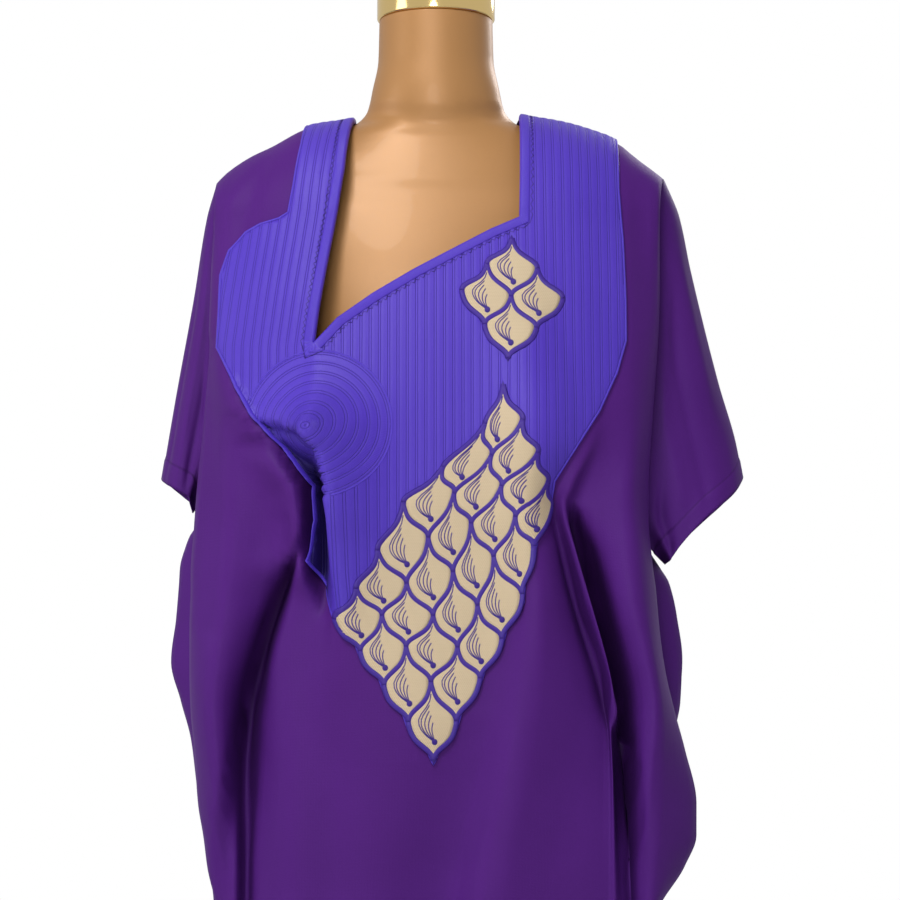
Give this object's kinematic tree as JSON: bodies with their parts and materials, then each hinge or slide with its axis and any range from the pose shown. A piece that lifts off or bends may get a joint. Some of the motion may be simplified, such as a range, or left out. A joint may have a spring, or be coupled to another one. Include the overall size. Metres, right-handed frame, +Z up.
{
  "type": "grand boubou robe on a dress form",
  "caption": "Purple grand boubou robe with a ribbed violet yoke and cream leaf applique, hanging on an armless dress form with a round base.",
  "frame": {"origin": "centre of the round base's underside, on the floor", "axes": "+Z up along the pole, the robe's front faces -Y, +X to the right of someone looking at its front"},
  "size_m": [0.5154, 0.3, 1.574],
  "materials": {
    "robe_cloth": "smooth crepe satin with a soft sheen",
    "plastron_cloth": "satin, corded in narrow ribs",
    "leaf_cloth": "matt cream cloth, stitched all over",
    "form_finish": "satin gold-tan paint with fine metallic flake",
    "cap_metal": "polished",
    "stand_metal": "satin"
  },
  "bodies": {
    "root": {"back": "robe_cloth", "front": "robe_cloth", "sleeve_left": "robe_cloth", "sleeve_right": "robe_cloth", "plastron": "plastron_cloth", "neck_binding": "plastron_cloth", "leaf_cluster": "leaf_cloth", "leaf_lattice": "leaf_cloth", "form_torso": "form_finish", "neck_cap": "cap_metal", "stand_pole": "stand_metal", "stand_base": "stand_metal"}
  },
  "joints": []
}
